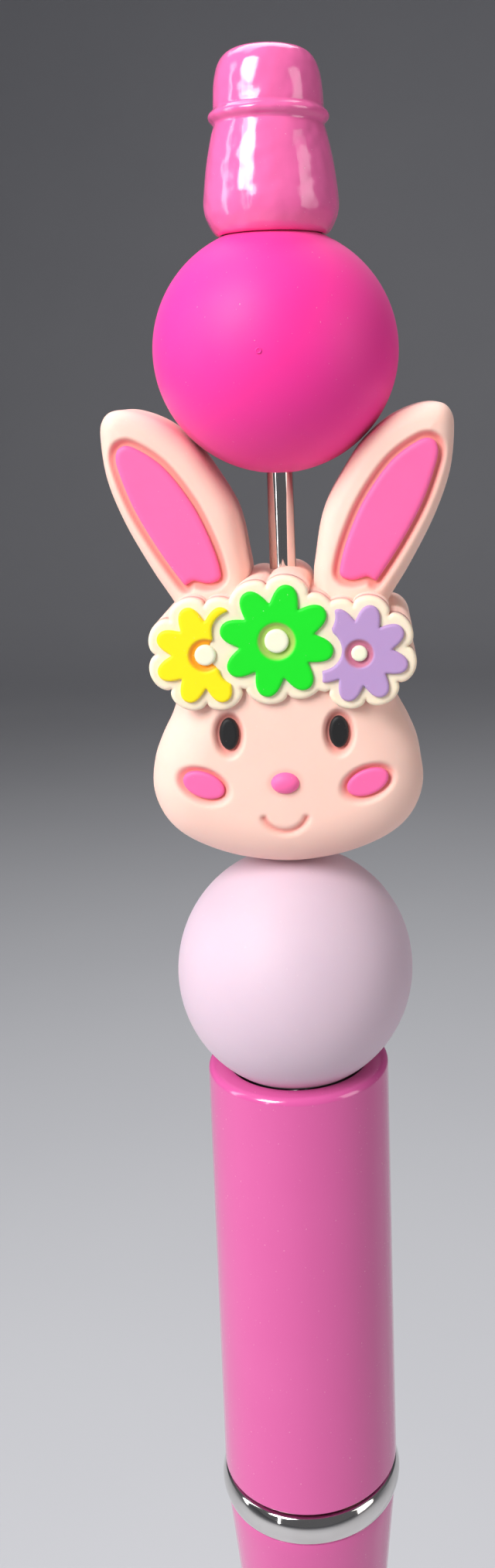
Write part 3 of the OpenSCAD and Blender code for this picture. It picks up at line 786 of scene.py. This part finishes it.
# ---- Pink bead -----------------------------------------------------------------------------------
# A ball like the lilac one, in hot pink. It rests between the rabbit's ears, and a pip is
# left on its front where the mould was filled.
hot_pink = silicone("hot_pink_silicone", rgb(250, 50, 161), rgb(246, 42, 153))
piece_of(turned(ball_outline("pink_bead"), 176), "pink_ball", "pink_bead", hot_pink, "pink_silicone",
         "pink_bead")
pink_low, pink_high = extent("pink_bead")
pink_z = (pink_low.z + pink_high.z) / 2
pip_foot = bead_r - 0.05
pip_top = bead_r + 0.04
pip_dimple = bead_r - 0.02
pip = turned([(0, pip_foot), (0.19, pip_foot), (0.18, pip_top), (0.12, pip_top), (0.07, pip_dimple),
              (0, pip_dimple)], 20)
for turn, axis in ((91.5, "X"), (-4, "Z")):
    bmesh.ops.rotate(pip, cent=(0, 0, 0), matrix=Matrix.Rotation(radians(turn), 3, axis),
                     verts=pip.verts)
bmesh.ops.translate(pip, vec=(0, 0, pink_z), verts=pip.verts)
piece_of(pip, "pink_ball_pip", "pink_bead", hot_pink, "pink_silicone")

# ---- End cap -------------------------------------------------------------------------------------
# Moulded in glossy pink round a brass insert: a dome, a raised ring and a bell-shaped skirt
# whose hollow foot sits on the last bead.
cap_z = extent("end_cap")[0].z
cap_ring_r = 3.33
cap_ring_top = 7.35
dome = [(0, 11), (0.9, 10.99), (1.6, 10.93), (2.2, 10.77), (2.62, 10.5), (2.92, 10.1),
        (3.14, 9.5), (3.27, 8.7), (3.32, 7.8), (3.33, 7.4)]
cap_ring = [(cap_ring_r + 0.33 * sin(pi * i / 12), cap_ring_top - 0.88 * i / 12) for i in range(1, 12)]
skirt = [(3.34, 6.4), (3.5, 5.86), (3.74, 4.76), (3.92, 3.66), (4.05, 2.56), (4.1, 1.8),
         (4.02, 1.15), (3.8, 0.6), (3.52, 0.12), (3.3, -0.04), (3.12, -0.05), (3.02, 0.05)]
hollow = [(3.05, 1.6, 0.2), (1.6, 1.6), (1.6, 7.8), (0, 7.8)]


def rounder(points, steps=4):
    """A smooth open line through the points."""
    ends = np.array([points[0], *points, points[-1]], float)
    line = []
    for four in zip(ends, ends[1:], ends[2:], ends[3:]):
        line += [tuple(on_curve(*four, t)) for t in np.arange(steps) / steps]
    return line + [points[-1]]


cap_outline = rounder(dome) + cap_ring + rounder(skirt) + hollow
cap_outline = [(point[0], cap_z + point[1], *point[2:]) for point in cap_outline]
cap_pink = moulded_gloss("cap_pink", rgb(244, 114, 178), rgb(238, 102, 168), 0.2, 1.5)
piece_of(turned(cap_outline, 144), "end_cap_shell", "end_cap", cap_pink, "cap_gloss", "end_cap")

# ---- Studio --------------------------------------------------------------------------------------
# A pale sweep of paper under and behind the pen, soft lamps round it, and the camera in
# front, a little above the rabbit.
floor_z = -4
floor_front = -600
floor_back = 550
bend = 250
wall_top = 1400
sweep_width = 3000
sweep_path = [(floor_front, floor_z), (floor_back, floor_z)]
for i in range(1, 13):
    turn = pi / 2 * i / 12
    sweep_path.append((floor_back + bend * sin(turn), floor_z + bend * (1 - cos(turn))))
sweep_path.append((floor_back + bend, wall_top))
bm = bmesh.new()
path_verts = [bm.verts.new((-sweep_width / 2, y, z)) for y, z in sweep_path]
path_edges = [bm.edges.new(pair) for pair in zip(path_verts, path_verts[1:])]
swept = bmesh.ops.extrude_edge_only(bm, edges=path_edges)["geom"]
far_verts = [item for item in swept if isinstance(item, bmesh.types.BMVert)]
bmesh.ops.translate(bm, vec=(sweep_width, 0, 0), verts=far_verts)
bmesh.ops.scale(bm, vec=(mm, mm, mm), verts=bm.verts)
sweep_mesh = bpy.data.meshes.new("paper_sweep")
bm.to_mesh(sweep_mesh)
bm.free()
sweep_mesh.polygons.foreach_set("use_smooth", [True] * len(sweep_mesh.polygons))
sweep = bpy.data.objects.new("paper_sweep", sweep_mesh)
bpy.context.scene.collection.objects.link(sweep)
paper = Paint("paper", Roughness=0.9)
paper_tone = paper.blend(paper.noise(60), rgb(200, 201, 205), rgb(194, 195, 200))
sweep_mesh.materials.append(paper.feed(Base_Color=paper_tone))

lit_spot = Vector((0, 0, pink_z - 20)) * mm


def lamp(name, place, width, height, power, colour):
    """A soft rectangular lamp that is turned to the rabbit."""
    light = bpy.data.lights.new(name, "AREA")
    light.shape = "RECTANGLE"
    light.size = width * mm
    light.size_y = height * mm
    light.energy = power
    light.spread = radians(110)
    light.color = colour
    item = bpy.data.objects.new(name, light)
    item.location = Vector(place) * mm
    item.rotation_euler = (lit_spot - item.location).to_track_quat("-Z", "Y").to_euler()
    bpy.context.scene.collection.objects.link(item)


lamp("window", (-190, -230, 330), 160, 220, 0.66, (1, 0.98, 0.96))
lamp("left_strip", (-270, -40, 175), 45, 330, 0.09, (1, 1, 1))
lamp("slit", (-152, -212, 172), 12, 310, 0.035, (1, 1, 1))
lamp("side_fill", (330, -140, 175), 150, 320, 0.17, (1, 0.96, 0.92))
lamp("ceiling", (-40, 150, 480), 380, 240, 0.42, (0.96, 0.98, 1))
world = bpy.data.worlds.new("room")
world.use_nodes = True
world.node_tree.nodes["Background"].inputs["Color"].default_value = rgb(220, 220, 226)
world.node_tree.nodes["Background"].inputs["Strength"].default_value = 0.16
bpy.context.scene.world = world
bpy.context.scene.view_settings.view_transform = "Standard"

camera_data = bpy.data.cameras.new("camera")
camera_data.lens = 31.81
camera_data.clip_start = 0.005
camera_data.shift_x = -0.04931
camera_data.shift_y = -0.15286
camera = bpy.data.objects.new("camera", camera_data)
bpy.context.scene.collection.objects.link(camera)
bpy.context.scene.camera = camera
yaw, pitch, roll = radians(1.73), radians(-6.42), radians(1.63)
aim = Matrix.Rotation(yaw, 4, "Z") @ Matrix.Rotation(pitch, 4, "X") @ Matrix.Rotation(roll, 4, "Y")
stand = Matrix.Translation(Vector((5.23, -85.45, pink_z - 2.4)) * mm)
camera.matrix_world = stand @ aim @ Matrix.Rotation(pi / 2, 4, "X")
